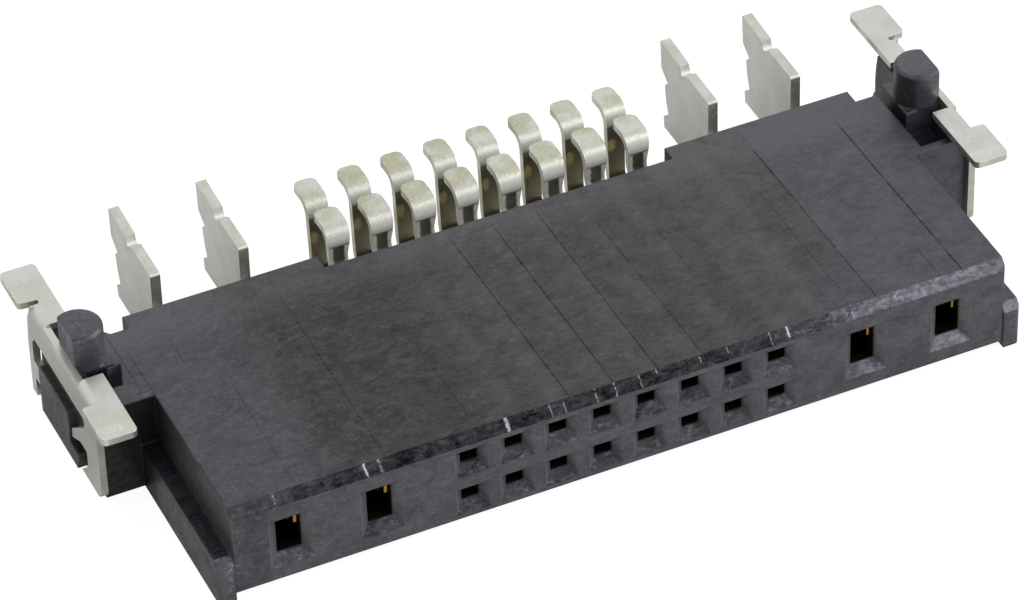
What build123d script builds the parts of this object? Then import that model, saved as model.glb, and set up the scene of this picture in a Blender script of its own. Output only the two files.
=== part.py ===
from build123d import *
import os

# Right-angle board socket, lying on its cover face with the board side up.
# X runs along the mating face, Y from the mating face to the solder side, Z from the cover face to the board.
# Lengths are in millimetres. Places along Y are written as the distance behind the mating face.

# Grid of the contacts
signal_pitch = 1.27
signal_count = 8
power_columns = [-9.525, -6.985, 6.985, 9.525]
upper_row_height = 2.117
lower_row_height = 0.847
power_row_height = 1.467

# Housing block
block_length = 22.28
block_height = 2.98
block_depth = 7.9
power_block_depth = 8.4
power_block_inner = 5.15
power_block_outer = 10.75
front_chamfer = 0.27
corner_radius = 0.12

# Board side
board_plane = 3.37
overall_depth = 12.35

# Cavities: mouth, throat and chamber as width along X and height along Z
mouth_depth = 0.27
throat_end = 0.55
signal_mouth = (0.98, 0.87)
signal_throat = (0.49, 0.33)
signal_chamber = (0.66, 0.84)
power_mouth = (1.24, 1.60)
power_throat = (0.69, 1.05)
power_chamber = (0.96, 1.24)

# Side rails and ears
rail_outer = 11.62
rail_height = 1.42
rail_chamfer = 0.22
ear_front = 5.13
ear_outer = 12.70
ear_back = 8.2
ear_wall_inner = 12.24
ear_wall_end = 9.62
ear_wall_top_end = 9.44
ear_wall_slope_foot = 1.9

# Recess in front of the peg and along its inner side
recess_inner = 11.42
recess_outer = 12.45
recess_front = 5.35
recess_floor_front = 6.2
recess_floor = 2.25

# Locating pegs
peg_x = 12.35
peg_y = 7.30
peg_radius = 0.67
peg_top = 4.20
peg_edge = 0.12
peg_base_inner = 11.68
peg_base_front = 6.7
peg_base_top = 3.06

# Bosses that the brackets close round
boss_outer = 12.95
boss_front = 7.0
boss_back = 9.15
boss_top = 1.6
boss_foot_front = 6.35
boss_foot_height = 0.55

# Hold-down brackets
sheet = 0.20
plate_outer = ear_outer + sheet
plate_front = 4.93
plate_back = 9.95
plate_top = 3.30
plate_foot = 0.12
front_tab_front = 3.6
flange_inner = 12.17
tab_outer = 13.18
bend_radius = 0.26
middle_front = 6.1
middle_back = 8.55
window_top = 2.25
window_back = 9.62
flange_end = 9.48
corner_top = 9.55

# Signal contacts
strip_thickness = 0.22
foot_left = -0.28
front_foot_right = 0.41
rear_foot_right = 0.37
foot_corner = 0.22
foot_reach = 1.12
foot_end_height = 3.39
crest_height = 3.46
inside_bend = 0.32
leg_left = -0.23
leg_right = 0.26
left_taper = (1.2, 3.05)
right_taper = (2.6, 3.35)
front_leg = 8.6
rear_leg = 9.98
beam_width = 0.50
beam_thickness = 0.13
box_front = 4.2
box_back = 5.8
tip_place = 0.75
touch_place = 1.25
touch_height = 0.20
tip_height = 0.34

# Power contacts
blade_thickness = 0.29
blade_left = -0.03
blade_front = 9.35
neck_half_height = 0.45
leaf_box_front = 5.6
leaf_box_back = 7.3
leaf_box_wall = 0.2
leaf_thickness = 0.12
leaf_touch = (0.24, 1.5)
left_tip = (0.36, 0.75)
right_tip = (0.33, 0.42)
finger_back = 0.78
finger_bottom = 1.62


def box(x_range, y_range, z_range):
    # a block between two places along each axis
    size = [high - low for low, high in (x_range, y_range, z_range)]
    middle = [(high + low) / 2 for low, high in (x_range, y_range, z_range)]
    return Pos(*middle) * Box(*size)


def plate_across(points, x_range, radii):
    # an outline in Y and Z, as thick along X as the range says
    outline = FilletPolyline(*[(x_range[0], y, z) for y, z in points], radius=radii, close=True)
    return extrude(make_face(outline), x_range[1] - x_range[0], dir=(1, 0, 0))


def plate_flat(points, z_range, radii):
    # an outline in X and Y, as thick along Z as the range says
    outline = FilletPolyline(*[(x, y, z_range[0]) for x, y in points], radius=radii, close=True)
    return extrude(make_face(outline), z_range[1] - z_range[0], dir=(0, 0, 1))


def plate_upright(points, y_range, radii):
    # an outline in X and Z, as thick along Y as the range says
    outline = FilletPolyline(*[(x, y_range[0], z) for x, z in points], radius=radii, close=True)
    return extrude(make_face(outline), y_range[1] - y_range[0], dir=(0, 1, 0))


def mirrored(shape):
    return mirror(shape, Plane.YZ)


def signal_columns():
    return [(column - (signal_count - 1) / 2) * signal_pitch for column in range(signal_count)]


def cavity(x, z, mouth, throat, chamber, depth):
    # sloped mouth, narrow throat, then a chamber that is open behind for the contact
    mouth_plane = Plane((x, 0, z), x_dir=(1, 0, 0), z_dir=(0, 1, 0))
    throat_plane = Plane((x, mouth_depth, z), x_dir=(1, 0, 0), z_dir=(0, 1, 0))
    lead_in = loft([mouth_plane * Rectangle(*mouth), throat_plane * Rectangle(*throat)], ruled=True)
    narrow = box(
        (x - throat[0] / 2, x + throat[0] / 2),
        (mouth_depth, throat_end),
        (z - throat[1] / 2, z + throat[1] / 2),
    )
    wide = box(
        (x - chamber[0] / 2, x + chamber[0] / 2),
        (throat_end, depth),
        (z - chamber[1] / 2, z + chamber[1] / 2),
    )
    return lead_in + narrow + wide


def block():
    # the long block, chamfered along the mating face, with deeper stretches behind the power contacts
    half = block_length / 2
    profile = [
        (front_chamfer, 0),
        (block_depth, 0),
        (block_depth, block_height),
        (front_chamfer, block_height),
        (0, block_height - front_chamfer),
        (0, front_chamfer),
    ]
    outline = Polyline(*[(-half, y, z) for y, z in profile], close=True)
    shape = extrude(make_face(outline), block_length, dir=(1, 0, 0))
    upright = shape.edges().filter_by(Axis.Z).group_by(Axis.Y)[0]
    shape = fillet(upright, corner_radius)
    for inner, outer in ((-power_block_outer, -power_block_inner), (power_block_inner, power_block_outer)):
        shape += box((inner, outer), (block_depth, power_block_depth), (0, block_height))
    return shape


def rail():
    # low guide rail along the right-hand end, in front of the ear
    inner = block_length / 2
    shape = box((inner, rail_outer), (0, ear_front), (0, rail_height))
    front_top = shape.edges().filter_by(Axis.X).group_by(Axis.Y)[0].sort_by(Axis.Z)[-1]
    shape = chamfer(front_top, rail_chamfer)
    front_corner = shape.edges().filter_by(Axis.Z).group_by(Axis.Y)[0].sort_by(Axis.X)[-1]
    return fillet(front_corner, corner_radius)


def ear():
    # the right-hand ear: block, outer wall under the bracket's rear flange, recess round the peg's base
    inner = block_length / 2
    outline = [
        (inner, ear_front),
        (ear_outer, ear_front),
        (ear_outer, ear_wall_end),
        (ear_wall_inner, ear_wall_end),
        (ear_wall_inner, ear_back),
        (recess_inner + 0.1, ear_back),
        (recess_inner - 0.15, block_depth),
        (inner, block_depth),
    ]
    shape = plate_flat(outline, (0, block_height), [0, 0, 0.1, 0.1, 0.2, 0, 0, 0])
    beyond = ear_wall_end + 0.1
    wedge = [
        (ear_wall_top_end, block_height),
        (ear_wall_end, ear_wall_slope_foot),
        (beyond, ear_wall_slope_foot),
        (beyond, block_height),
    ]
    shape -= plate_across(wedge, (recess_inner, ear_outer), [0] * len(wedge))
    side = [
        (recess_front, block_height),
        (recess_floor_front, recess_floor),
        (ear_back, recess_floor),
        (ear_back, block_height),
    ]
    front = side[:2] + [(peg_base_front, recess_floor), (peg_base_front, block_height)]
    shape -= plate_across(side, (recess_inner, peg_base_inner), [0, 0.4, 0, 0])
    shape -= plate_across(front, (peg_base_inner, recess_outer), [0, 0.4, 0, 0])
    raised = box((peg_base_inner, ear_outer), (peg_base_front, ear_back), (block_height, peg_base_top))
    return shape + raised


def peg():
    # locating peg, round with a flat flush with the ear's outer face
    height = peg_top - peg_base_top
    shape = Pos(peg_x, peg_y, peg_base_top + height / 2) * Cylinder(peg_radius, height)
    shape = fillet(shape.edges().group_by(Axis.Z)[-1], peg_edge)
    beyond = (ear_outer, peg_x + peg_radius + peg_edge)
    return shape - box(beyond, (peg_y - 1, peg_y + 1), (peg_base_top, peg_top))


def boss():
    # raised block that the bracket's legs close round
    outline = [
        (boss_back, 0),
        (boss_back, boss_top),
        (boss_front, boss_top),
        (boss_front, boss_foot_height),
        (boss_foot_front, boss_foot_height),
        (boss_foot_front + 0.2, 0),
    ]
    return plate_across(outline, (ear_outer, boss_outer), [0, 0.15, 0.15, 0, 0.1, 0])


def make_housing():
    shape = block()
    for side in (rail(), ear(), peg(), boss()):
        shape += side
        shape += mirrored(side)
    for x in signal_columns():
        for z in (upper_row_height, lower_row_height):
            shape -= cavity(x, z, signal_mouth, signal_throat, signal_chamber, block_depth)
    for x in power_columns:
        shape -= cavity(x, power_row_height, power_mouth, power_throat, power_chamber, power_block_depth)
    return shape


def spring_beam(z, side):
    # one leaf of the fork: from the box forward to the contact point, then flared out behind the throat
    outer = signal_chamber[1] / 2
    place = [box_back, box_front, touch_place, tip_place]
    height = [outer, outer, touch_height, tip_height]
    upper = [(y, z + side * h) for y, h in zip(place, height)]
    lower = [(y, z + side * (h - beam_thickness)) for y, h in zip(place, height)]
    points = upper + lower[::-1]
    return plate_across(points, (-beam_width / 2, beam_width / 2), [0] * len(points))


def tail(z, leg, foot_right):
    # bent strip: its side view cut to its rear view, which narrows from the foot down the leg
    half = strip_thickness / 2
    foot_end = leg + foot_reach
    outside_bend = inside_bend + strip_thickness
    side_view = [
        (box_back, z + half),
        (leg, z + half),
        (leg, crest_height),
        (foot_end, foot_end_height),
        (foot_end, foot_end_height - strip_thickness),
        (leg + strip_thickness, crest_height - strip_thickness),
        (leg + strip_thickness, z - half),
        (box_back, z - half),
    ]
    radii = [0, inside_bend, outside_bend, 0, 0, inside_bend, outside_bend, 0]
    strip = plate_across(side_view, (foot_left, foot_right), radii)
    foot_corners = strip.edges().filter_by(Axis.Z).group_by(Axis.Y)[-1]
    strip = fillet(foot_corners, foot_corner)
    rear_view = [
        (leg_left, 0),
        (leg_left, left_taper[0]),
        (foot_left, left_taper[1]),
        (foot_left, board_plane + 1),
        (foot_right, board_plane + 1),
        (foot_right, right_taper[1]),
        (leg_right, right_taper[0]),
        (leg_right, 0),
    ]
    return strip & plate_upright(rear_view, (0, overall_depth), [0] * len(rear_view))


def make_signal_contact(x, z, leg, foot_right):
    shape = tail(z, leg, foot_right)
    wide = signal_chamber[0] / 2
    tall = signal_chamber[1] / 2
    spring_box = box((-wide, wide), (box_front, box_back), (z - tall, z + tall))
    spring_box -= box(
        (-wide + beam_thickness, wide - beam_thickness),
        (box_front, box_back - beam_thickness),
        (z - tall + beam_thickness, z + tall - beam_thickness),
    )
    shape += spring_box
    shape += spring_beam(z, 1)
    shape += spring_beam(z, -1)
    return Pos(x, 0, 0) * shape


def power_leaf(side, tip):
    # one leaf of the spring pair: forward to the contact point, then flared out to its tip
    wide = power_chamber[0] / 2
    outer = [(wide, leaf_box_back), (wide, leaf_box_front), leaf_touch, tip]
    inner = [(reach - leaf_thickness, place) for reach, place in outer]
    points = [(side * reach, place) for reach, place in outer + inner[::-1]]
    z_range = (power_row_height - neck_half_height, power_row_height + neck_half_height)
    return plate_flat(points, z_range, [0] * len(points))


def make_power_contact(x):
    z = power_row_height
    thickness = (blade_left, blade_left + blade_thickness)
    blade = [
        (blade_front, 0.45),
        (blade_front, 3.22),
        (10.7, 3.24),
        (11.03, 2.99),
        (11.15, 3.28),
        (12.35, board_plane),
        (12.30, 2.43),
        (11.90, 2.15),
        (12.09, 1.95),
        (12.0, 1.4),
        (11.87, 1.06),
        (12.18, 0.80),
        (12.14, 0.43),
    ]
    radii = [0, 0.08, 0.1, 0.08, 0, 0.05, 0, 0, 0, 0, 0, 0, 0]
    shape = plate_across(blade, thickness, radii)
    neck = (leaf_box_back - leaf_box_wall, blade_front + 0.2)
    shape += box(thickness, neck, (z - neck_half_height, z + neck_half_height))
    wide = power_chamber[0] / 2
    tall = power_chamber[1] / 2
    spring_box = box((-wide, wide), (leaf_box_front, leaf_box_back), (z - tall, z + tall))
    spring_box -= box(
        (-wide + leaf_box_wall, wide - leaf_box_wall),
        (leaf_box_front, leaf_box_back - leaf_box_wall),
        (z - tall + leaf_box_wall, z + tall - leaf_box_wall),
    )
    shape += spring_box
    shape += power_leaf(-1, left_tip)
    # the right-hand leaf reaches into the throat with a finger at its top
    below_finger = box((0, wide), (0, finger_back), (0, finger_bottom))
    shape += power_leaf(1, right_tip) - below_finger
    return Pos(x, 0, 0) * shape


def flange(side, y_range):
    # bend along Y, from the upright plate over to the flat flange
    low = board_plane - sheet
    outline = [
        (flange_inner, low),
        (ear_outer, low),
        (ear_outer, low - 0.3),
        (plate_outer, low - 0.3),
        (plate_outer, board_plane),
        (flange_inner, board_plane),
    ]
    radii = [0, bend_radius - sheet, 0, 0, bend_radius, 0]
    return plate_upright([(side * x, z) for x, z in outline], y_range, radii)


def make_hold_down(side):
    # upright plate with a window round the boss, open below, and two flanges bent inboard on the board side
    plate = [
        (5.35, plate_foot),
        (6.35, plate_foot),
        (5.83, 0.62),
        (5.83, 1.12),
        (6.3, 1.12),
        (6.95, 0.78),
        (6.9, 1.12),
        (5.83, 1.98),
        (5.83, window_top),
        (9.42, window_top),
        (window_back, 2.0),
        (window_back, 1.35),
        (9.2, 1.35),
        (9.2, 0.75),
        (window_back, 0.75),
        (window_back, plate_foot),
        (plate_back, plate_foot),
        (plate_back, 1.9),
        (9.83, 2.7),
        (corner_top, plate_top),
        (plate_front, plate_top),
        (plate_front, plate_foot),
    ]
    radii = [0, 0, 0.12, 0, 0, 0, 0, 0, 0.12, 0, 0, 0, 0.08, 0.08, 0, 0, 0, 0.6, 0.4, 0, 0, 0.3]
    shape = plate_across(plate, sorted((side * ear_outer, side * plate_outer)), radii)
    across = sorted((side * (ear_outer - 1), side * tab_outer))
    above = (board_plane - 0.4, board_plane)
    shape -= box(across, (plate_front - 1, middle_front), above)
    shape -= box(across, (middle_back, flange_end), above)
    shape += flange(side, (plate_front, middle_front))
    shape += flange(side, (middle_back, flange_end))
    front_tab = [
        (flange_inner, plate_front + 0.15),
        (flange_inner, front_tab_front),
        (tab_outer, front_tab_front),
        (tab_outer, 5.05),
        (12.75, 5.05),
        (12.75, plate_front + 0.15),
    ]
    rear_tab = [
        (flange_inner, 9.3),
        (12.64, 9.3),
        (12.64, 9.62),
        (tab_outer, 9.67),
        (tab_outer, 11.08),
        (flange_inner, 11.08),
    ]
    thickness = (board_plane - sheet, board_plane)
    for outline, radii in ((front_tab, [0, 0.15, 0.18, 0.1, 0, 0]), (rear_tab, [0, 0, 0, 0.12, 0.15, 0.15])):
        shape += plate_flat([(side * x, y) for x, y in outline], thickness, radii)
    return shape


def save(name, shape):
    placed = Pos(0, -overall_depth / 2, 0) * shape
    export_step(placed, f"parts/{name}.step")


os.makedirs("parts", exist_ok=True)
save("housing", make_housing())
for number, column in enumerate(signal_columns(), start=1):
    front = make_signal_contact(column, upper_row_height, front_leg, front_foot_right)
    save(f"signal_front_{number}", front)
    rear = make_signal_contact(column, lower_row_height, rear_leg, rear_foot_right)
    save(f"signal_rear_{number}", rear)
for number, column in enumerate(power_columns, start=1):
    save(f"power_contact_{number}", make_power_contact(column))
save("hold_down_right", make_hold_down(1))
save("hold_down_left", make_hold_down(-1))
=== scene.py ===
import math

import bpy
from mathutils import Matrix, Vector


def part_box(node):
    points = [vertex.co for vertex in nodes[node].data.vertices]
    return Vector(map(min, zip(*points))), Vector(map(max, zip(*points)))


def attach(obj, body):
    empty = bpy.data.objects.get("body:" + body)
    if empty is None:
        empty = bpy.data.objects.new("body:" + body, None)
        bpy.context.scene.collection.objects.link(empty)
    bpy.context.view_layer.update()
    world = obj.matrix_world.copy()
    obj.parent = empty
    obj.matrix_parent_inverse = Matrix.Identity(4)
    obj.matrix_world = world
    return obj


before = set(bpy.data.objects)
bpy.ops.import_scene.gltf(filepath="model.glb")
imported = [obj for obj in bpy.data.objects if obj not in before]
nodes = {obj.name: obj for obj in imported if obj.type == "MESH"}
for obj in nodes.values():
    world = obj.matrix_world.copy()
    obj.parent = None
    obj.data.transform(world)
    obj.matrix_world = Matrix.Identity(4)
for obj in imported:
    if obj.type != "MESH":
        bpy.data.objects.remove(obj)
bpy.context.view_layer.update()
print("frame loaded,", len(nodes), "nodes")

millimetre = 0.001
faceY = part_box("housing")[0].y      # the mating face
columnPitch = 1.27                  # millimetres between contacts


class Wire:
    # one shader socket, so that patterns read as sums and products
    def __init__(self, tree, socket=None):
        self.tree = tree
        self.socket = socket

    def node(self, kind, settings=None, inputs=None, output=0):
        made = self.tree.nodes.new(kind)
        for name, value in (settings or {}).items():
            setattr(made, name, value)
        for name, value in (inputs or {}).items():
            if isinstance(value, Wire):
                self.tree.links.new(value.socket, made.inputs[name])
            else:
                made.inputs[name].default_value = value
        return Wire(self.tree, made.outputs[output] if made.outputs else None)

    def math(self, operation, *values):
        return self.node("ShaderNodeMath", {"operation": operation}, dict(enumerate(values)))

    def __add__(self, other):
        return self.math("ADD", self, other)

    def __sub__(self, other):
        return self.math("SUBTRACT", self, other)

    def __rsub__(self, other):
        return self.math("SUBTRACT", other, self)

    def __mul__(self, other):
        return self.math("MULTIPLY", self, other)

    def __truediv__(self, other):
        return self.math("DIVIDE", self, other)

    def __abs__(self):
        return self.math("ABSOLUTE", self)

    __radd__ = __add__
    __rmul__ = __mul__


def paint(red, green, blue):
    # a colour given as it looks on screen, 0 to 255
    linear = []
    for value in (red, green, blue):
        part = value / 255
        linear.append(part / 12.92 if part <= 0.04045 else ((part + 0.055) / 1.055) ** 2.4)
    return (*linear, 1.0)


def rise(value, low, high):
    # 0 below low, 1 above high, smooth between; high may be the lower one
    settings = {"interpolation_type": "SMOOTHSTEP"}
    inputs = {"Value": value, "From Min": low, "From Max": high}
    return value.node("ShaderNodeMapRange", settings, inputs)


def thread(pattern, wide, thin):
    # a thin line wherever the pattern crosses its middle
    return rise(abs(pattern - 0.5), wide, thin)


def brightest(wires):
    # the highest of several patterns
    highest = wires[0]
    for wire in wires[1:]:
        highest = highest.math("MAXIMUM", highest, wire)
    return highest


def mixColour(factor, first, second):
    return factor.node("ShaderNodeMix", {"data_type": "RGBA"}, {0: factor, 6: first, 7: second}, 2)


def noise(coordinates, scale, stretch=(1, 1, 1), detail=3, roughness=0.5, turn=(0, 0, 0), swirl=0):
    # scale is in features per millimetre
    inputs = {"Vector": coordinates, "Scale": stretch, "Rotation": turn}
    placed = coordinates.node("ShaderNodeMapping", {}, inputs)
    inputs = {"Vector": placed, "Scale": scale / millimetre, "Detail": detail}
    inputs.update({"Roughness": roughness, "Distortion": swirl})
    return placed.node("ShaderNodeTexNoise", {}, inputs)


def newMaterial(name, fixed):
    material = bpy.data.materials.new(name)
    material.use_nodes = True
    shader = material.node_tree.nodes["Principled BSDF"]
    for socketName, value in fixed.items():
        shader.inputs[socketName].default_value = value
    return material, shader, Wire(material.node_tree)


def surface(start):
    # measures of a point: x, y and z in millimetres, y from the mating face, and its normal
    coordinates = start.node("ShaderNodeTexCoord", output="Object")
    normal = start.node("ShaderNodeNewGeometry", output="True Normal")
    at = {"places": coordinates}
    for index, axis in enumerate("xyz"):
        place = start.node("ShaderNodeSeparateXYZ", {}, {0: coordinates}, index)
        at[axis] = place / millimetre
        at["n" + axis] = start.node("ShaderNodeSeparateXYZ", {}, {0: normal}, index)
    at["y"] = at["y"] - faceY / millimetre
    at["side"] = abs(at["x"])
    at["sideways"] = abs(at["nx"])
    at["flat"] = abs(at["nz"])
    # millimetres to the right of the middle of the nearest contact
    at["column"] = at["x"].math("FLOORED_MODULO", at["x"], columnPitch) - columnPitch / 2
    return at


def region(at, limits):
    # where all limits hold: a measure, where it starts and where it is full
    mask = 1
    for measure, start, full in limits:
        mask = rise(at[measure], start, full) * mask
    return mask


def patterns(at, look):
    # the noises and the regions of a material, by name
    texture = {name: noise(at["places"], **settings) for name, settings in look["textures"].items()}
    mask = {name: region(at, limits) for name, limits in look["regions"].items()}
    return texture, mask


def total(wires, shares):
    # patterns added up, each by its share
    return sum(wires[name] * share for name, share in shares.items())


def sway(texture, amounts):
    # noises swung about their mean of one half, and added up
    return sum((texture[name] - 0.5) * amount for name, amount in amounts.items())


def join(start, shader, **links):
    for socketName, wire in links.items():
        start.tree.links.new(wire.socket, shader.inputs[socketName.replace("_", " ")])


def softEdges(start, height, relief, radius):
    # rounds the shading over sharp edges by the radius, then adds the fine relief
    strength, distance = relief
    rounded = start.node("ShaderNodeBevel", {"samples": 4}, {"Radius": radius * millimetre})
    inputs = {"Strength": strength, "Distance": distance * millimetre}
    inputs.update({"Height": height, "Normal": rounded})
    return start.node("ShaderNodeBump", {}, inputs)


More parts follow.
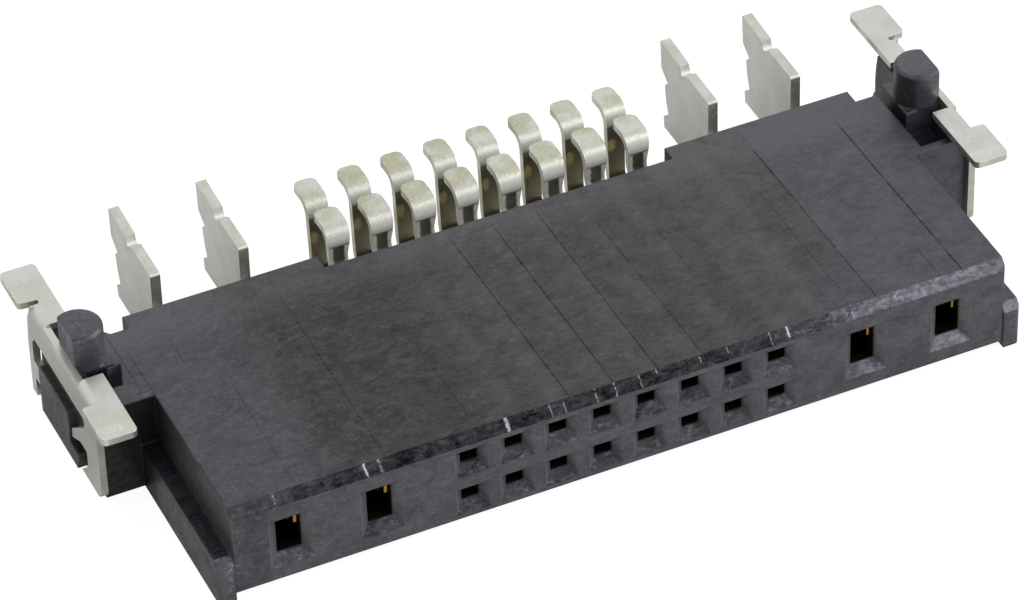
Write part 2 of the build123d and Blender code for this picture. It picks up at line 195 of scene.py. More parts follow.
plasticLook = {
    "sheen": 1.86,              # index of refraction of the skin
    "roughness": 0.40,
    "roughnessSway": {"grain": 0.25, "blotches": 0.12},
    "edgeRadius": 0.09,         # millimetres
    "relief": (0.35, 0.010),    # strength, and depth in millimetres
    "heights": {"streaks": 0.5, "grain": 0.5},
    "dullness": 0.30,           # mean share of skin too rough to mirror
    "dullnessSway": {"streaks": 0.44, "grain": 0.46, "mottles": 0.38, "blotches": 0.6},
    "matte": (22, 20, 26),      # what shows there

    # tint
    "cool": (38, 39, 54),
    "warm": (40, 35, 35),
    "tintSway": {"blotches": 0.8},
    "rearCoolness": 0.4,
    "wallWarmth": 0.8,

    # noises: features per millimetre, stretch, turn and so on
    "textures": {
        "streaks": {
            "scale": 17, "stretch": (0.2, 1, 1), "roughness": 0.6,
            "turn": (0, 0, -0.25), "swirl": 0.6,
        },
        "grain": {"scale": 13, "roughness": 0.7},
        "mottles": {
            "scale": 5.5, "stretch": (0.6, 1, 1), "detail": 2, "roughness": 0.6,
            "turn": (0, 0, -0.3), "swirl": 0.8,
        },
        "blotches": {"scale": 1.6, "stretch": (0.7, 1, 1), "roughness": 0.6, "swirl": 0.8},
        "curl": {"scale": 1.6, "detail": 1, "turn": (0.4, 0.2, 0), "swirl": 1.5},
        "fibreCurve": {
            "scale": 2.8, "stretch": (0.4, 1, 1), "detail": 2, "roughness": 0.6,
            "turn": (0, 0, -0.35), "swirl": 1.2,
        },
        "fibreGaps": {"scale": 4.5, "detail": 2},
        "lineGaps": {"scale": 1.3, "detail": 2},
        "speckle": {"scale": 6.0, "stretch": (0.7, 1, 1), "roughness": 0.65, "swirl": 0.5},
        "specks": {"scale": 8, "roughness": 0.7},
    },

    # the board side is duller or shinier in patches, and the rail top beside the block is darkened
    # as painted shade: how much duller, and where
    "topDullness": -0.02,
    "topPatches": [
        (0.20, [("x", -9.2, -7.2), ("x", -2.2, -4.6)]),
        (0.09, [("x", 5.6, 6.4), ("x", 7.36, 7.30)]),
        (-0.10, [("x", 4.2, 5.0)]),
        (-0.22, [("raggedY", 6.5, 7.4)]),
        (0.09, [("fromStripe", 0.10, 0.40), ("x", -3.7, -2.7), ("x", 6.7, 5.7)]),
        # painted shade on the rail top beside the block
        (0.40, [("z", 2.2, 1.8), ("x", -11.0, -11.2)]),
    ],
    "raggedness": {"blotches": 3},      # millimetres
    "stripeShift": 0.05,        # millimetres to the right of a contact's middle

    # threads in the skin: where they start and are full, and how much shinier they are
    "flowWidth": (0.022, 0.004),
    "flowShine": 0.15,
    "fibreWidth": (0.014, 0.004),
    "fibreGaps": (0.46, 0.62),
    "fibreShine": 0.22,
    "fibrePaleness": 0.25,
    "fibreLoss": 0.7,           # share that is missing to the right

    # moulding lines on the board side: x at the front and at the rear,
    # where they begin and end behind the face, strength
    "lines": [
        (-1.54, -1.67, 0.3, 7.3, 1.0),
        (-0.28, -0.42, 0.3, 7.3, 1.0),
        (0.98, 0.87, 0.3, 7.3, 1.0),
        (2.29, 2.11, 0.3, 6.2, 0.7),
        (3.60, 3.40, 1.6, 5.4, 0.35),
        (-4.20, -4.30, 0.5, 4.0, 0.4),
        (-6.74, -6.68, 0.3, 7.1, 0.5),
        (-9.26, -9.12, 0.5, 4.3, 0.5),
        (-9.86, -9.98, 5.9, 7.1, 0.5),
        (-11.13, -11.15, 0.6, 6.9, 0.6),
        (9.94, 9.85, 0.3, 7.4, 1.4),
        (7.40, 7.27, 0.3, 7.1, 1.2),
        (6.68, 6.57, 1.0, 5.4, 0.5),
        (8.50, 8.44, 2.0, 6.6, 0.25),
        (9.30, 9.25, 0.3, 1.4, 0.8),
    ],
    "lineLength": 7.3,          # behind the face where the rear x holds
    "lineWidth": (0.036, 0.010),
    "lineFade": (0.1, 0.4),     # millimetres at the beginning and at the end
    "lineGaps": (0.28, 0.46),
    "lineDullness": 0.34,
    "lineDepth": 2.5,

    # the chamfer along the mating face, and the ramps into the cavities, darkened as painted shade
    "slope": (54, 47, 56),
    "wornSlope": (78, 76, 98),
    "fleck": (78, 74, 90),
    "wornFleck": (144, 144, 162),
    "fleckRange": (0.48, 0.80),
    # how dark the slopes are painted as shade, and the ramps' share of that
    "slopeShade": 0.54,
    "rampShade": 0.8,        # the ramps' share of it
    "wornShine": 3,             # how fast wear takes it away
    "contrast": (0.45, 0.4),    # of the flecks, and what the worn places add
    "rampWear": (0.7, 0.5),     # share of the worn colours on the ramps: slope, fleck
    "wear": {"fleckedRight": 0.14, "fleckedLeft": 0.07, "ramps": 0.02},

    # pale scuffs across the chamfer: x, half width, strength
    "scuffs": [
        (-9.90, 0.030, 0.8), (-7.35, 0.035, 1.0), (-6.95, 0.040, 0.5), (-3.38, 0.060, 0.9),
        (-2.14, 0.020, 0.6), (-1.75, 0.020, 0.5), (-0.84, 0.020, 0.6), (-0.29, 0.025, 0.7),
        (0.43, 0.020, 0.5), (0.93, 0.020, 0.6), (2.17, 0.020, 0.6), (2.97, 0.020, 0.5),
        (4.21, 0.020, 0.6), (4.73, 0.035, 1.0), (6.62, 0.030, 0.35), (7.91, 0.020, 0.3),
        (8.72, 0.020, 0.25),
    ],
    "scuff": (200, 202, 212),
    "scuffEdge": (1.3, 0.4),    # in half widths
    "scuffSway": {"speckle": 0.12},
    "scuffGaps": (0.40, 0.50),

    # walls painted lighter or darker as painted light and shade: region, colour, how much duller;
    # later ones cover earlier
    "walls": [
        # painted light on the mouth walls, the far mouth walls, the peg and ear fronts, the left
        # wall, the pit and the boss; painted shade on the ear wall under the tab and on the front
        # of the left end
        ("mouthWalls", (62, 61, 69), -0.15),
        ("farMouthWalls", (112, 110, 120), 0),
        ("pegFront", (92, 91, 102), 0),
        ("earFront", (92, 91, 102), 0),
        ("leftWall", (70, 67, 68), 0),
        ("earWall", (30, 26, 24), 0.3),
        ("pit", (120, 117, 134), -0.3),
        ("boss", (82, 80, 80), 0),
        ("frontEnd", None, 0.15),
    ],
    "farWallDullness": 0.25,

    "speck": (190, 190, 196),
    "speckRange": (0.56, 0.66),
    "speckStrength": 0.6,
    "speckled": {"leftCorner": 1.0, "rightCorner": 0.3, "pegTops": 0.2},
    # the cavities are painted dark as shade: colour, and share of matte skin there
    "cavity": (30, 20, 10),
    "cavityShade": 0.93,

    # where each finish lies: a measure, where it starts and where it is full
    "regions": {
        "top": [("nz", 0.9, 0.98)],
        "front": [("ny", -0.7, -0.95)],
        "upright": [("flat", 0.6, 0.4)],
        "matingEdge": [("y", 1.0, 0.8)],
        "leftEnd": [("x", -6.8, -9.6)],
        "rightEnd": [("x", 4.0, 8.0)],
        "brownStripe": [("x", 5.9, 6.3), ("x", 7.36, 7.30), ("y", 1.5, 2.5)],
        "rearStrip": [("y", 6.7, 7.3)],
        "flowMarks": [("x", -3.5, -7.5)],
        "fibres": [("y", 7.2, 6.6)],
        "fewerFibres": [("x", 1.0, 5.0)],
        "slopes": [("nz", 0.35, 0.5), ("nz", 0.93, 0.85), ("y", 1.2, 1.0)],
        "belowChamfer": [("z", 2.60, 2.50)],
        "onChamfer": [("z", 2.68, 2.74)],
        "wornRight": [("x", 1.0, 8.0)],
        "fleckedRight": [("x", 3.0, 9.5)],
        "fleckedLeft": [("x", -9.0, -10.0)],
        "mouthWalls": [
            ("y", 1.2, 1.0), ("side", 10.9, 10.7), ("sideways", 0.3, 0.5), ("ny", -0.95, -0.7),
        ],
        "facingRight": [("nx", 0.3, 0.5)],
        "alongRow": [("side", 11.0, 10.0)],
        "pegFront": [("flat", 0.6, 0.4), ("z", 2.9, 3.1), ("x", -11.5, -11.6)],
        "earFront": [("ny", -0.7, -0.95), ("y", 5.0, 5.1), ("x", 11.2, 11.3)],
        "leftWall": [("nx", -0.6, -0.9), ("x", -11.0, -11.1), ("z", 3.0, 2.9)],
        "earWall": [
            ("flat", 0.6, 0.4), ("y", 3.4, 5.3), ("z", 3.0, 2.9),
            ("x", -12.7, -12.6), ("x", -10.9, -11.0),
        ],
        "pit": [
            ("x", -11.9, -11.8), ("x", -11.1, -11.3),
            ("y", 5.70, 5.75), ("y", 6.80, 6.75), ("z", 2.97, 2.95),
        ],
        "boss": [("x", -12.7, -12.8)],
        "frontEnd": [("ny", -0.7, -0.95), ("x", -9.9, -10.6), ("x", -11.3, -11.1)],
        "leftCorner": [
            ("x", -11.45, -11.25), ("x", -10.85, -11.05), ("y", 0.3, 0.1), ("z", 2.4, 1.6),
        ],
        "rightCorner": [("x", 11.2, 11.4), ("y", 0.3, 0.1)],
        "pegTops": [("z", 3.1, 3.3)],
        "cavities": [
            ("side", 11.0, 10.9), ("y", 0.26, 0.34), ("y", 8.0, 7.9),
            ("z", 0.05, 0.15), ("z", 2.85, 2.75),
        ],
    },
}


def skinTint(texture, mask):
    # bluer at both ends, on the mating face and along the rear
    look = plasticLook
    ends = brightest([mask["leftEnd"], mask["rightEnd"]]) * (1 - mask["brownStripe"] * mask["top"])
    walls = mask["upright"] * (1 - mask["front"] * mask["matingEdge"])
    cool = brightest([ends, mask["front"], mask["rearStrip"] * look["rearCoolness"]])
    cool = cool * (1 - walls * look["wallWarmth"]) + sway(texture, look["tintSway"])
    return mixColour(rise(cool, 0.0, 1.0), paint(*look["warm"]), paint(*look["cool"]))


def skinDullness(at, texture, mask):
    # share of skin that is too rough to mirror, with painted shade on the rail top beside the block
    look = plasticLook
    at["raggedY"] = at["y"] + sway(texture, look["raggedness"])
    at["fromStripe"] = abs(at["column"] - look["stripeShift"])
    patches = sum(region(at, limits) * duller for duller, limits in look["topPatches"])
    dull = (patches + look["topDullness"]) * mask["top"] + look["dullness"]
    return dull + sway(texture, look["dullnessSway"])


def flowAndFibres(texture, mask, colour, dull):
    # curled flow marks, and short pale fibres that lie in the skin
    look = plasticLook
    flow = thread(texture["curl"], *look["flowWidth"]) * mask["flowMarks"]
    fibres = thread(texture["fibreCurve"], *look["fibreWidth"]) * mask["fibres"]
    fibres = fibres * rise(texture["fibreGaps"], *look["fibreGaps"])
    fibres = fibres * (1 - mask["fewerFibres"] * look["fibreLoss"])
    dull = dull - flow * look["flowShine"] - fibres * look["fibreShine"]
    return mixColour(fibres * look["fibrePaleness"], colour, paint(*look["fleck"])), dull


def mouldLines(at, texture, mask):
    # thin lines that the mould's inserts leave on the board side
    look = plasticLook
    fadeIn, fadeOut = look["lineFade"]
    lines = []
    for front, rear, nearest, farthest, strength in look["lines"]:
        slant = (rear - front) / look["lineLength"]
        line = rise(abs(at["x"] - at["y"] * slant - front), *look["lineWidth"])
        ends = [("y", nearest - fadeIn, nearest), ("y", farthest + fadeOut, farthest)]
        lines.append(line * region(at, ends) * strength)
    return brightest(lines) * rise(texture["lineGaps"], *look["lineGaps"]) * mask["top"]


def shadedAndWornSlopes(texture, mask, colour, dull):
    # the chamfer and the ramps are darkened as painted shade, with flecks of wear that grow paler
    # to the right
    look = plasticLook
    mask["ramps"] = mask["slopes"] * mask["belowChamfer"]
    chamfer = mask["slopes"] * (1 - mask["ramps"])
    wear = total(mask, look["wear"])
    flecks = rise(texture["speckle"] + wear, *look["fleckRange"]) * mask["slopes"]
    fleckContrast, wornContrast = look["contrast"]
    contrast = brightest([mask["wornRight"], mask["ramps"]]) * wornContrast + fleckContrast
    share = chamfer + mask["ramps"] * look["rampShade"]
    share = share * (look["slopeShade"] - wear * look["wornShine"])
    dull = dull + share * (1 - flecks * contrast)

    slopeWear, fleckWear = look["rampWear"]
    worn = brightest([mask["wornRight"], mask["ramps"] * slopeWear])
    slopeColour = mixColour(worn, paint(*look["slope"]), paint(*look["wornSlope"]))
    worn = brightest([mask["wornRight"], mask["ramps"] * fleckWear])
    fleckColour = mixColour(worn, paint(*look["fleck"]), paint(*look["wornFleck"]))
    colour = mixColour(mask["slopes"], colour, slopeColour)
    return mixColour(flecks, colour, fleckColour), dull


def wallLightAndShade(mask, colour, dull):
    # walls are painted lighter or darker as painted light and shade; the far walls of the mouths
    # are painted as light as the face round them, whatever they mirror
    look = plasticLook
    far = mask["mouthWalls"] * mask["facingRight"]
    mask["farMouthWalls"] = far
    for name, wallColour, duller in look["walls"]:
        if wallColour:
            colour = mixColour(mask[name], colour, paint(*wallColour))
        if duller:
            dull = dull + mask[name] * duller
    return colour, dull * (1 - far) + far * mask["alongRow"] * look["farWallDullness"]


def paleSpecks(texture, mask, colour):
    # where the corners and the pegs were rubbed
    look = plasticLook
    rubbed = brightest([mask[name] * strength for name, strength in look["speckled"].items()])
    specks = rubbed * rise(texture["specks"], *look["speckRange"]) * look["speckStrength"]
    return mixColour(specks, colour, paint(*look["speck"]))


def chamferScuffs(at, texture, mask):
    # pale rubbed spots with broken edges
    look = plasticLook
    outer, inner = look["scuffEdge"]
    ragged = at["x"] + sway(texture, look["scuffSway"])
    scuffs = []
    for place, half, strength in look["scuffs"]:
        scuffs.append(rise(abs(ragged - place), half * outer, half * inner) * strength)
    broken = rise(texture["speckle"], *look["scuffGaps"])
    return brightest(scuffs) * broken * mask["slopes"] * mask["onChamfer"]


def mouldedPlastic():
    look = plasticLook
    material, shader, start = newMaterial("housingPlastic", {"IOR": look["sheen"]})
    at = surface(start)
    texture, mask = patterns(at, look)
    colour = skinTint(texture, mask)
    dull = skinDullness(at, texture, mask)
    colour, dull = flowAndFibres(texture, mask, colour, dull)
    lines = mouldLines(at, texture, mask)
    dull = dull + lines * look["lineDullness"]
    colour, dull = shadedAndWornSlopes(texture, mask, colour, dull)
    colour, dull = wallLightAndShade(mask, colour, dull)
    colour = paleSpecks(texture, mask, colour)

    # no light gets into the cavities, so they are painted dark as shade
    dull = brightest([dull, mask["cavities"] * look["cavityShade"]])
    matteColour = mixColour(mask["cavities"], paint(*look["matte"]), paint(*look["cavity"]))
    scuffs = chamferScuffs(at, texture, mask)
    colour = mixColour(scuffs, colour, paint(*look["scuff"]))
    dull = dull * (1 - scuffs)

    roughness = sway(texture, look["roughnessSway"]) + look["roughness"]
    height = total(texture, look["heights"]) - lines * look["lineDepth"]
    normal = softEdges(start, height, look["relief"], look["edgeRadius"])
    join(start, shader, Base_Color=colour, Roughness=roughness, Normal=normal)

    # the glossy skin and the matte one are mixed by the dullness
    matte = {"Base Color": matteColour, "Roughness": 1.0, "Specular IOR Level": 0.0}
    matte = start.node("ShaderNodeBsdfPrincipled", {}, matte)
    skin = Wire(start.tree, shader.outputs["BSDF"])
    mixed = start.node("ShaderNodeMixShader", {}, {0: dull, 1: skin, 2: matte})
    start.tree.links.new(mixed.socket, start.tree.nodes["Material Output"].inputs["Surface"])
    return material


tinLook = {
    "copper": (158, 140, 100),
    "solder": (196, 197, 190),
    "bend": (176, 176, 166),
    "rearLegTint": (174, 167, 142),
    "rubbed": (216, 192, 134),
    # the glint colour paints highlights on tin crystals, leg rims, the blade notch, blade specks
    # and bracket tabs
    "glint": (238, 238, 230),
    "platedUpper": (186, 187, 177),
    # the first gold is painted dark as shade; the second gold paints a highlight on the finger of
    # each power throat
    "gold": (34, 27, 14),
    "goldGlint": (138, 108, 52),
    "goldRoughness": 0.12,
    "relief": (0.20, 0.005),    # strength, and depth in millimetres
    "heights": {"grain": 0.7, "drawn": 0.3},
    "cloudRange": (0.35, 0.65),
    "cutRange": (0.36, 0.6),
    "cutRoughness": 0.10,

    # colours of the plating, its roughness and the noises that sway it,
    # share of copper at the sheared sides, where those are, shading radius
    "finishes": {
        "signal": {
            "bright": (206, 207, 198), "dull": (180, 180, 155),
            "rough": 0.36, "uneven": {"grain": 0.14, "cloud": 0.08},
            "copper": 0.15, "cuts": ["stripCuts"], "edge": 0.010, "gilded": True,
        },
        "power": {
            "bright": (208, 210, 205), "dull": (202, 204, 196),
            "rough": 0.44, "uneven": {"grain": 0.14, "cloud": 0.08},
            "copper": 0.20, "cuts": ["bladeCuts"], "edge": 0.020, "gilded": True,
        },
        "hold": {
            "bright": (207, 208, 204), "dull": (198, 200, 190),
            "rough": 0.38, "uneven": {"grain": 0.22, "cloud": 0.08},
            "copper": 0.35, "cuts": ["tabCuts", "plateCuts"], "edge": 0.020, "gilded": False,
        },
    },

    # marks of wear and painted highlights; a range is where a pattern starts and where it is full
    "bendStrength": 0.8,
    "crystalRange": (0.44, 0.72),
    "crystalStrength": 0.35,
    "rimRange": (0.13, 0.19),   # millimetres from a contact's middle
    "rimSway": {"grain": 0.15},
    "speckRange": (0.57, 0.66),
    "speckStrength": 0.6,
    "crushRange": (0.46, 0.66),
    "crushStrength": 0.8,
    "scratchRange": (0.55, 0.75),
    "scratchStrength": 0.5,
    # round marks: where the middle is, how much wider than high they are,
    # and the squared distances at which they start and are full
    "rubbedSpot": {
        "along": "column", "middle": -0.15, "height": 2.25, "width": 0.6,
        "sway": {"grain": 0.05}, "squares": (0.024, 0.006),
    },
    "notchSpot": {
        "along": "y", "middle": 11.02, "height": 2.98, "width": 1.0,
        "sway": {"grain": 0.12}, "squares": (0.045, 0.012),
    },
    # how much less metallic the marks look
    "metalLoss": {"soldered": 0.8, "rubbed": 0.6, "rims": 0.7, "blades": 0.7, "brackets": 0.5},

    "textures": {
        "cloud": {"scale": 1.3},
        "grain": {"scale": 14, "roughness": 0.7},
        "drawn": {"scale": 9, "stretch": (1, 1, 0.12), "detail": 2},
        "sheared": {"scale": 2.2},
        "scratches": {
            "scale": 9, "stretch": (1, 0.3, 1), "roughness": 0.7,
            "turn": (0, 0, 0.6), "swirl": 1.0,
        },
    },
    # where each finish lies: a measure, where it starts and where it is full
    "regions": {
        "stripCuts": [("sideways", 0.7, 0.9)],
        "bladeCuts": [("sideways", 0.5, 0.3), ("y", 8.3, 8.6)],
        "tabCuts": [("z", 3.1, 3.2), ("flat", 0.4, 0.2)],
        "plateCuts": [("z", 3.2, 3.1), ("sideways", 0.4, 0.2)],
        "gold": [("y", 4.3, 4.0)],
        "finger": [("column", 0.14, 0.24), ("y", 1.0, 0.8), ("z", 1.1, 1.6)],
        "bend": [("ny", -0.15, -0.45), ("nz", 0.1, 0.3), ("z", 3.0, 3.1)],
        "soldered": [("ny", -0.15, -0.45), ("z", 2.90, 2.97), ("z", 3.36, 3.12)],
        "rearLegFronts": [("ny", -0.3, -0.6), ("z", 2.95, 2.6), ("y", 9.7, 9.8)],
        "feet": [("z", 2.9, 3.1)],
        "frontLegs": [("ny", -0.15, -0.45), ("z", 2.95, 2.85), ("y", 9.6, 9.4)],
        "bladeFront": [("ny", -0.6, -0.9), ("y", 9.6, 9.5)],
        "upperPlate": [("z", 0.9, 2.4), ("z", 3.12, 3.06)],
        "tab": [("z", 3.1, 3.16)],
        "tabEnd": [("z", 3.1, 3.16), ("y", 3.79, 3.89), ("y", 4.11, 4.01)],
    },
}


def spot(at, texture, look):
    # a round mark with a ragged rim
    across = at[look["along"]] - look["middle"]
    up = (at["z"] - look["height"]) * look["width"]
    square = across * across + up * up + sway(texture, look["sway"])
    return rise(square, *look["squares"])


def signalWear(at, texture, mask, colour):
    # solder on the lower bend, a tan tint on the lower front of the rear legs, and a rubbed spot on
    # each of them
    look = tinLook
    colour = mixColour(mask["bend"] * look["bendStrength"], colour, paint(*look["bend"]))
    colour = mixColour(mask["soldered"], colour, paint(*look["solder"]))
    colour = mixColour(mask["rearLegFronts"], colour, paint(*look["rearLegTint"]))
    mask["rubbed"] = spot(at, texture, look["rubbedSpot"]) * mask["rearLegFronts"]
    colour = mixColour(mask["rubbed"], colour, paint(*look["rubbed"]))

    # pale crystals of tin on the feet with painted highlights, and painted highlights on the rims
    # of the front legs
    crystals = rise(texture["grain"], *look["crystalRange"]) * mask["feet"]
    fromMiddle = abs(at["column"]) + sway(texture, look["rimSway"])
    mask["rims"] = rise(fromMiddle, *look["rimRange"]) * mask["frontLegs"]
    bright = brightest([crystals * look["crystalStrength"], mask["rims"]])
    colour = mixColour(bright, colour, paint(*look["glint"]))
    marks = ("soldered", "rubbed", "rims")
    return colour, brightest([mask[name] * look["metalLoss"][name] for name in marks])


def powerWear(at, texture, mask, colour):
    # crushed metal round the notch with a painted highlight on it, and specks of painted highlight
    # on the dark front edge
    look = tinLook
    specks = rise(texture["grain"], *look["speckRange"]) * mask["bladeFront"]
    bright = brightest([spot(at, texture, look["notchSpot"]), specks * look["speckStrength"]])
    colour = mixColour(bright, colour, paint(*look["glint"]))
    return colour, bright * look["metalLoss"]["blades"]


def bracketWear(at, texture, mask, colour):
    # the plate dulls towards the board side, and the tabs are crushed and scratched, with painted
    # highlights on those marks
    look = tinLook
    colour = mixColour(mask["upperPlate"], colour, paint(*look["platedUpper"]))
    crushed = rise(texture["grain"], *look["crushRange"]) * mask["tabEnd"]
    scratched = rise(texture["scratches"], *look["scratchRange"]) * mask["tab"]
    bright = brightest([crushed * look["crushStrength"], scratched * look["scratchStrength"]])
    colour = mixColour(bright, colour, paint(*look["glint"]))
    return colour, bright * look["metalLoss"]["brackets"]


def tinPlate(kind, wear):
    look = tinLook
    finish = look["finishes"][kind]
    material, shader, start = newMaterial(kind + "Tin", {})
    at = surface(start)
    texture, mask = patterns(at, look)
    clouded = rise(texture["cloud"], *look["cloudRange"])
    colour = mixColour(clouded, paint(*finish["bright"]), paint(*finish["dull"]))
    cut = sum(mask[name] for name in finish["cuts"]) * rise(texture["sheared"], *look["cutRange"])
    colour = mixColour(cut * finish["copper"], colour, paint(*look["copper"]))
    roughness = sway(texture, finish["uneven"]) + cut * look["cutRoughness"] + finish["rough"]
    colour, loss = wear(at, texture, mask, colour)
    if finish["gilded"]:
        # the gold is painted dark as shade inside the throats, and only the finger at the
        # right-hand side of each power throat is painted bright as a highlight
        goldColour = mixColour(mask["finger"], paint(*look["gold"]), paint(*look["goldGlint"]))
        colour = mixColour(mask["gold"], colour, goldColour)
        roughness = roughness * (1 - mask["gold"]) + mask["gold"] * look["goldRoughness"]
    normal = softEdges(start, total(texture, look["heights"]), look["relief"], finish["edge"])
    join(start, shader, Base_Color=colour, Roughness=roughness, Metallic=1 - loss, Normal=normal)
    return material


def dress(beginning, material):
    for name in nodes:
        if name.startswith(beginning):
            for slot in nodes[name].material_slots:
                slot.material = material


plastic = mouldedPlastic()
dress("housing", plastic)
dress("signal", tinPlate("signal", signalWear))
dress("power", tinPlate("power", powerWear))
dress("hold", tinPlate("hold", bracketWear))
print("housing, contacts and brackets have their finishes")


shoulderLook = {
    # millimetres: along X from the middle, behind the face, heights
    "outer": -12.45,
    "wallEnd": -11.68,
    "inner": -11.42,
    "front": 5.35,
    "pitFront": 5.85,
    "pitCorner": -11.74,
    "pitBack": 6.70,
    "slantReach": 0.21,     # how far past the wall's end the pit's slanting side aims
    "back": 8.20,
    "top": 2.98,
    "bottom": 2.25,
}


def makeShoulder():
    # the left-hand ear is level with the block beside the peg, with a small pit in front of it
    look = shoulderLook
    width = look["inner"] - look["outer"]
    length = look["back"] - look["front"]
    middleX = (look["inner"] + look["outer"]) / 2
    middleY = faceY / millimetre + (look["back"] + look["front"]) / 2
    bpy.ops.object.select_all(action="DESELECT")
    bpy.ops.mesh.primitive_plane_add(size=1, location=(0, 0, 0))
    piece = bpy.context.active_object
    piece.name = "leftShoulder"
    scale = Matrix.Diagonal((width * millimetre, length * millimetre, 1, 1))
    middle = Vector((middleX, middleY, look["top"])) * millimetre
    piece.data.transform(Matrix.Translation(middle) @ scale)

    # cut lines of the pit: its front, its slanting side, and the peg's base behind it
    cornerX, cornerY = look["pitCorner"], look["pitFront"]
    slantX = look["wallEnd"] + look["slantReach"] - cornerX
    slantY = look["pitBack"] - cornerY
    cuts = [
        ((cornerX, cornerY), (0, 1)),
        ((cornerX, cornerY), (slantY, -slantX)),
        ((look["wallEnd"], look["pitBack"]), (0, 1)),
        ((look["wallEnd"], look["pitBack"]), (1, 0)),
    ]
    bpy.ops.object.mode_set(mode="EDIT")
    for (x, y), (normalX, normalY) in cuts:
        bpy.ops.mesh.select_all(action="SELECT")
        point = (x * millimetre, faceY + y * millimetre, look["top"] * millimetre)
        bpy.ops.mesh.bisect(plane_co=point, plane_no=Vector((normalX, normalY, 0)).normalized())
    bpy.ops.object.mode_set(mode="OBJECT")

    # the pit and the place of the peg's base are cut out
    for face in piece.data.polygons:
        x = face.center.x / millimetre
        y = (face.center.y - faceY) / millimetre
        leftOfSlant = (x - cornerX) * slantY < (y - cornerY) * slantX
        inPit = look["pitFront"] < y < look["pitBack"] and leftOfSlant
        besidePeg = y > look["pitBack"] and x < look["wallEnd"]
        face.select = inPit or besidePeg
    bpy.ops.object.mode_set(mode="EDIT")
    bpy.ops.mesh.select_mode(type="FACE")
    bpy.ops.mesh.delete(type="FACE")
    bpy.ops.mesh.select_all(action="SELECT")
    drop = (look["bottom"] - look["top"]) * millimetre
    bpy.ops.mesh.extrude_region_move(TRANSFORM_OT_translate={"value": (0, 0, drop)})
    bpy.ops.mesh.select_all(action="SELECT")
    bpy.ops.mesh.normals_make_consistent(inside=False)
    bpy.ops.object.mode_set(mode="OBJECT")
    piece.data.materials.append(plastic)
    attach(piece, "root")
    return piece


makeShoulder()
print("left shoulder is filled")


floorLook = {
    "size": 3.0,            # metres
    "drop": 0.00002,        # below the cover face
    "camera": 0.92,         # glow that the camera sees
    "mirrored": 0.22,       # glow that metal and plastic see, on top of the lit paper
    "forward": 0.40,        # the same, added in front of the mating face
    "inFront": [("y", 1.0, -1.0)],
    "paper": 0.75,          # paper as they see it
    "bounce": 0.30,         # paper as soft light sees it
}


def makeFloor():
    look = floorLook
    bpy.ops.object.select_all(action="DESELECT")
    bpy.ops.mesh.primitive_plane_add(size=look["size"], location=(0, 0, 0))
    floor = bpy.context.active_object
    floor.name = "floor"
    floor.data.transform(Matrix.Translation((0, 0, -look["drop"])))
    material = bpy.data.materials.new("floorPaper")
    material.use_nodes = True
    tree = material.node_tree
    tree.nodes.clear()
    start = Wire(tree)
    camera = start.node("ShaderNodeLightPath", output="Is Camera Ray")
    glossy = start.node("ShaderNodeLightPath", output="Is Glossy Ray")
    clear = start.node("ShaderNodeLightPath", output="Is Transmission Ray")
    mirrored = brightest([glossy, clear])
    level = mirrored * (look["paper"] - look["bounce"]) + look["bounce"]
    shade = start.node("ShaderNodeCombineColor", {}, {0: level, 1: level, 2: level})
    plain = start.node("ShaderNodeBsdfDiffuse", {}, {"Color": shade})
    inFront = region(surface(start), look["inFront"])
    strength = camera * look["camera"] + mirrored * (inFront * look["forward"] + look["mirrored"])
    glow = start.node("ShaderNodeEmission", {}, {"Color": (1, 1, 1, 1), "Strength": strength})
    paper = start.node("ShaderNodeAddShader", {}, {0: plain, 1: glow})
    start.node("ShaderNodeOutputMaterial", {}, {"Surface": paper})
    floor.data.materials.append(material)
    return floor


makeFloor()


studioLook = {
    "world": 0.45,
    "sky": 0.95,     # what metal and plastic mirror above the horizon
    "lamps": {
        # direction, distance and width in metres, level
        "sideKey": ((0.75, -0.35, 0.60), 0.45, 0.35, 0.60),
    },
}


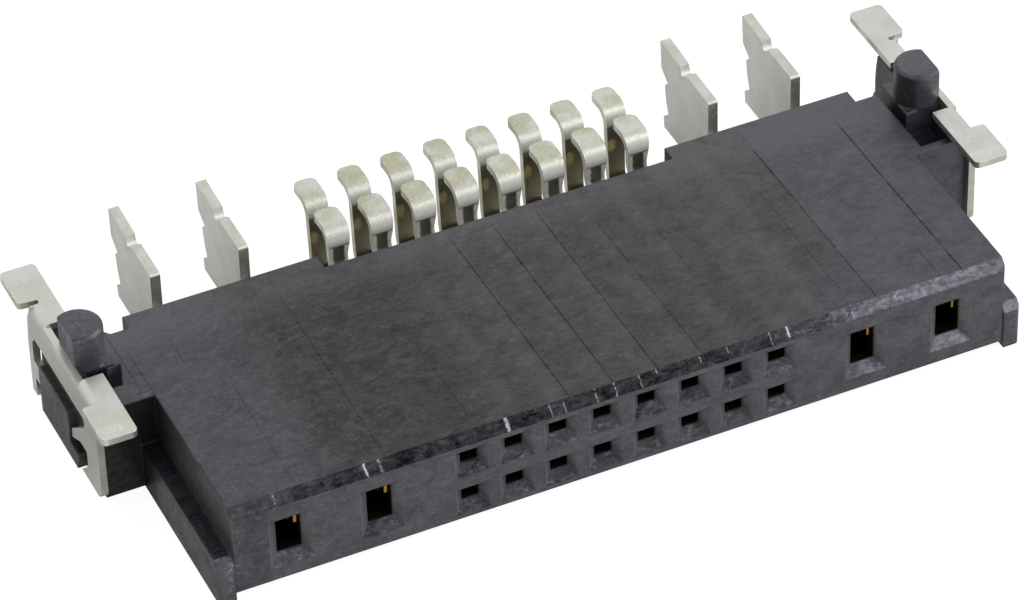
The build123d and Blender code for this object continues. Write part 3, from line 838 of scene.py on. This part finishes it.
def makeStudio():
    look = studioLook
    world = bpy.data.worlds.new("studio")
    bpy.context.scene.world = world
    world.use_nodes = True
    tree = world.node_tree
    tree.nodes.clear()
    start = Wire(tree)
    camera = start.node("ShaderNodeLightPath", output="Is Camera Ray")
    glossy = start.node("ShaderNodeLightPath", output="Is Glossy Ray")
    strength = glossy * (look["sky"] - look["world"]) + look["world"]
    strength = strength * (1 - camera) + camera
    inputs = {"Color": (1, 1, 1, 1), "Strength": strength}
    background = start.node("ShaderNodeBackground", {}, inputs)
    start.node("ShaderNodeOutputWorld", {}, {"Surface": background})
    for name, (direction, distance, width, level) in look["lamps"].items():
        away = Vector(direction).normalized()
        lamp = bpy.data.lights.new(name, "AREA")
        lamp.shape = "SQUARE"
        lamp.size = width
        lamp.energy = level * math.pi ** 2 * distance ** 2     # so that level is what a face gets
        holder = bpy.data.objects.new(name, lamp)
        bpy.context.scene.collection.objects.link(holder)
        holder.location = away * distance
        holder.rotation_euler = away.to_track_quat("Z", "Y").to_euler()


makeStudio()


cameraLook = {
    # degrees round the part, above it and about the line of sight
    "azimuth": -23.592,
    "elevation": 40.1935,
    "roll": -1.8726,
    # metres
    "distance": 0.13844,
    "target": (-0.0032647, -0.006175, 0.0071065),
    "clip": (0.005, 10),
    # millimetres
    "lens": 194.03,
    "sensor": 36,
}


def makeCamera():
    look = cameraLook
    angles = ("azimuth", "elevation", "roll")
    azimuth, elevation, roll = (math.radians(look[name]) for name in angles)
    back = Vector((
        math.sin(azimuth) * math.cos(elevation),
        -math.cos(azimuth) * math.cos(elevation),
        math.sin(elevation),
    ))
    right = Vector((math.cos(azimuth), math.sin(azimuth), 0))
    up = back.cross(right)
    turnedRight = right * math.cos(roll) + up * math.sin(roll)
    turnedUp = up * math.cos(roll) - right * math.sin(roll)
    camera = bpy.data.cameras.new("camera")
    camera.lens = look["lens"]
    camera.sensor_width = look["sensor"]
    camera.clip_start, camera.clip_end = look["clip"]
    holder = bpy.data.objects.new("camera", camera)
    bpy.context.scene.collection.objects.link(holder)
    turn = Matrix((turnedRight, turnedUp, back)).transposed().to_4x4()
    place = Vector(look["target"]) + back * look["distance"]
    holder.matrix_world = Matrix.Translation(place) @ turn
    bpy.context.scene.camera = holder


makeCamera()
bpy.context.scene.view_settings.view_transform = "Standard"
print("floor, lamps and camera are set")
